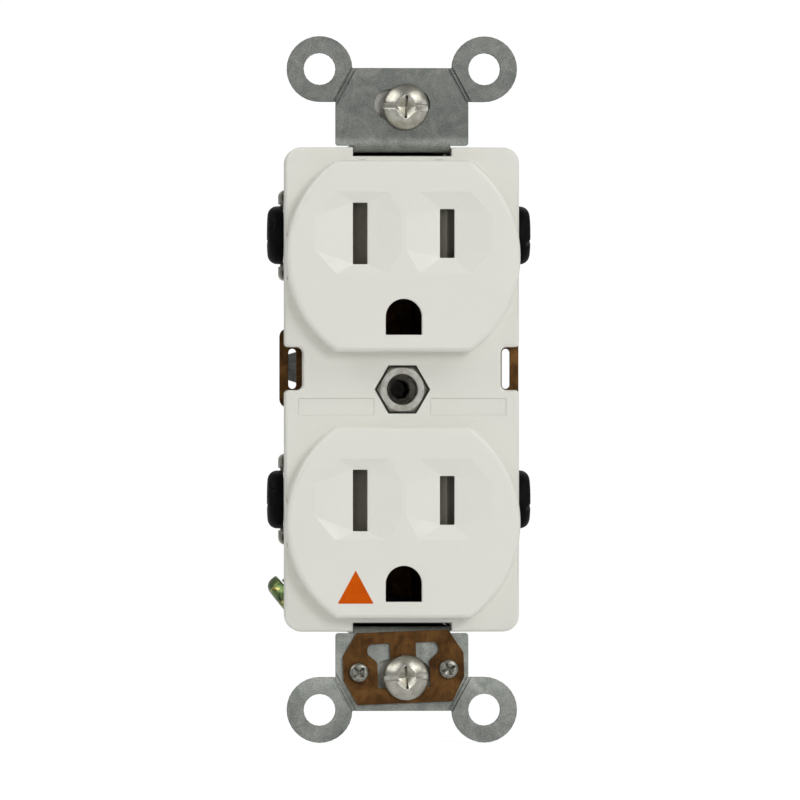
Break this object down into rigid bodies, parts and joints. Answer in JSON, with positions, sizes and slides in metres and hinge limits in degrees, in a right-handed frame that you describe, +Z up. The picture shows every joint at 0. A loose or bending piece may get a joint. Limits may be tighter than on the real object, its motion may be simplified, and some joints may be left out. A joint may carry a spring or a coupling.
{
  "type": "duplex wall outlet",
  "caption": "Flush-mounted duplex power outlet with a steel mounting strap, side terminal screws, sprung slot shutters and an isolated ground.",
  "frame": {"origin": "midway between the two box screws, on the rear face of the strap's ears (the wall's surface)", "axes": "+X right and +Z up as seen from the front, +Y into the wall"},
  "size_m": [0.0386, 0.0336, 0.1032],
  "materials": {
    "white_nylon": "satin moulded nylon",
    "black_nylon": "satin moulded nylon",
    "grey_shutter": "smooth moulded",
    "galvanised_steel": "galvanised, faintly spangled",
    "nickel_steel": "nickel plated",
    "dull_brass": "dull, tarnished brown",
    "black_oxide": "black oxide",
    "green_plated": "green dyed plating",
    "fibre": "vulcanised fibre",
    "spring_steel": "bright drawn wire"
  },
  "bodies": {
    "outlet": {"face_cover": "white_nylon", "rear_body": "black_nylon", "mounting_strap": "galvanised_steel", "self_grounding_clip": "dull_brass", "left_clip_rivet": "galvanised_steel", "right_clip_rivet": "galvanised_steel", "cover_plate_hex_post": "nickel_steel", "hot_contact_bus": "dull_brass", "neutral_contact_bus": "dull_brass", "isolated_ground_bus": "dull_brass", "upper_shutter_carrier": "black_nylon", "lower_shutter_carrier": "black_nylon", "upper_shutter_spring": "spring_steel", "lower_shutter_spring": "spring_steel", "upper_left_assembly_screw": "nickel_steel", "upper_right_assembly_screw": "nickel_steel", "lower_left_assembly_screw": "nickel_steel", "lower_right_assembly_screw": "nickel_steel"},
    "upper_hot_clamp": {"upper_hot_clamp": "dull_brass"},
    "upper_hot_screw": {"upper_hot_screw": "black_oxide"},
    "lower_hot_clamp": {"lower_hot_clamp": "dull_brass"},
    "lower_hot_screw": {"lower_hot_screw": "black_oxide"},
    "upper_neutral_clamp": {"upper_neutral_clamp": "nickel_steel"},
    "upper_neutral_screw": {"upper_neutral_screw": "black_oxide"},
    "lower_neutral_clamp": {"lower_neutral_clamp": "nickel_steel"},
    "lower_neutral_screw": {"lower_neutral_screw": "black_oxide"},
    "ground_clamp": {"ground_clamp": "dull_brass"},
    "ground_screw": {"ground_screw": "green_plated"},
    "upper_captive_washer": {"upper_captive_washer": "fibre"},
    "upper_box_screw": {"upper_box_screw": "nickel_steel"},
    "lower_captive_washer": {"lower_captive_washer": "fibre"},
    "lower_box_screw": {"lower_box_screw": "nickel_steel"},
    "upper_shutter": {"upper_shutter": "grey_shutter"},
    "lower_shutter": {"lower_shutter": "grey_shutter"}
  },
  "joints": [
    {"name": "upper_hot_clamp_travel", "type": "slide", "parent": "outlet", "child": "upper_hot_clamp", "axis": [1, 0, 0], "range_m": [-0.00119, 0.00099]},
    {"name": "upper_hot_screw_turn", "type": "hinge", "parent": "upper_hot_clamp", "child": "upper_hot_screw", "pos_m": [0.01705, 0.0092, 0.02272], "axis": [1, 0, 0], "range_deg": [-541, 451]},
    {"name": "lower_hot_clamp_travel", "type": "slide", "parent": "outlet", "child": "lower_hot_clamp", "axis": [1, 0, 0], "range_m": [-0.00119, 0.00099]},
    {"name": "lower_hot_screw_turn", "type": "hinge", "parent": "lower_hot_clamp", "child": "lower_hot_screw", "pos_m": [0.01705, 0.0092, -0.01618], "axis": [1, 0, 0], "range_deg": [-541, 451]},
    {"name": "upper_neutral_clamp_travel", "type": "slide", "parent": "outlet", "child": "upper_neutral_clamp", "axis": [-1, 0, 0], "range_m": [-0.00119, 0.00099]},
    {"name": "upper_neutral_screw_turn", "type": "hinge", "parent": "upper_neutral_clamp", "child": "upper_neutral_screw", "pos_m": [-0.01705, 0.0092, 0.02272], "axis": [-1, 0, 0], "range_deg": [-541, 451]},
    {"name": "lower_neutral_clamp_travel", "type": "slide", "parent": "outlet", "child": "lower_neutral_clamp", "axis": [-1, 0, 0], "range_m": [-0.00119, 0.00099]},
    {"name": "lower_neutral_screw_turn", "type": "hinge", "parent": "lower_neutral_clamp", "child": "lower_neutral_screw", "pos_m": [-0.01705, 0.0092, -0.01618], "axis": [-1, 0, 0], "range_deg": [-541, 451]},
    {"name": "ground_clamp_travel", "type": "slide", "parent": "outlet", "child": "ground_clamp", "axis": [-0.7738, 0, -0.6334], "range_m": [-0.00119, 0.00099]},
    {"name": "ground_screw_turn", "type": "hinge", "parent": "ground_clamp", "child": "ground_screw", "pos_m": [-0.01538, 0.0092, -0.03066], "axis": [-0.7738, 0, -0.6334], "range_deg": [-541, 451]},
    {"name": "upper_box_screw_shift", "type": "slide", "parent": "outlet", "child": "upper_captive_washer", "axis": [1, 0, 0], "range_m": [-0.0026, 0.0015]},
    {"name": "upper_box_screw_turn", "type": "hinge", "parent": "upper_captive_washer", "child": "upper_box_screw", "pos_m": [0.00055, 0, 0.04127], "axis": [0, -1, 0], "continuous": true},
    {"name": "lower_box_screw_shift", "type": "slide", "parent": "outlet", "child": "lower_captive_washer", "axis": [1, 0, 0], "range_m": [-0.0019, 0.0013]},
    {"name": "lower_box_screw_turn", "type": "hinge", "parent": "lower_captive_washer", "child": "lower_box_screw", "pos_m": [0.00055, 0, -0.04207], "axis": [0, -1, 0], "continuous": true},
    {"name": "upper_shutter_slide", "type": "slide", "parent": "outlet", "child": "upper_shutter", "axis": [1, 0, 0], "range_m": [0, 0.0026], "stiffness_N_per_m": 80, "springref_m": -0.001, "deforming": ["upper_shutter_spring"]},
    {"name": "lower_shutter_slide", "type": "slide", "parent": "outlet", "child": "lower_shutter", "axis": [1, 0, 0], "range_m": [0, 0.0026], "stiffness_N_per_m": 80, "springref_m": -0.001, "deforming": ["lower_shutter_spring"]}
  ],
  "couplings": [
    {"joint": "upper_hot_screw_turn", "follows": "upper_hot_clamp_travel", "rad_per_m": 7913.3},
    {"joint": "lower_hot_screw_turn", "follows": "lower_hot_clamp_travel", "rad_per_m": 7913.3},
    {"joint": "upper_neutral_screw_turn", "follows": "upper_neutral_clamp_travel", "rad_per_m": 7913.3},
    {"joint": "lower_neutral_screw_turn", "follows": "lower_neutral_clamp_travel", "rad_per_m": 7913.3},
    {"joint": "ground_screw_turn", "follows": "ground_clamp_travel", "rad_per_m": 7913.3}
  ]
}
